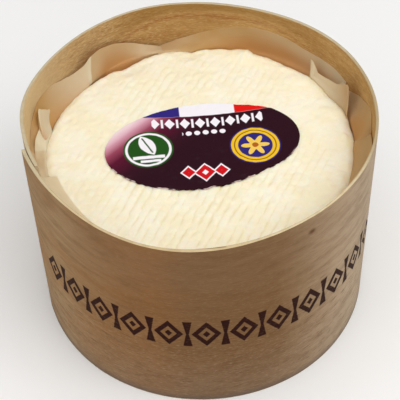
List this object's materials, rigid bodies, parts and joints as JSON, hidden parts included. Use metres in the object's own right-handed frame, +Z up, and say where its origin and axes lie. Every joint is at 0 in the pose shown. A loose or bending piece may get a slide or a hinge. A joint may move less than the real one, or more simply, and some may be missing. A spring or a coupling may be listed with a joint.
{
  "type": "brillat-savarin cheese in its box",
  "caption": "Small soft white-rind cheese with a ridged top and an oval label, standing in pleated greaseproof paper in an open round veneer box.",
  "frame": {"origin": "centre of the box's foot, on the surface it stands on", "axes": "+Z up through the open mouth of the box; the lap of the veneer lies towards -X; the picture looks along +Y and down"},
  "size_m": [0.0856, 0.0856, 0.0585],
  "materials": {
    "veneer": "raw poplar veneer, fine grain round the box, a dark brown printed frieze outside",
    "base_wood": "raw poplar",
    "greaseproof": "thin translucent greaseproof paper, satin",
    "rind": "soft cream-coloured rind, moist and matte, ridged by the draining mat",
    "label_print": null
  },
  "bodies": {
    "root": {"box_band": "veneer", "box_base": "base_wood", "paper": "greaseproof", "cheese": "rind", "label": "label_print"}
  },
  "joints": []
}
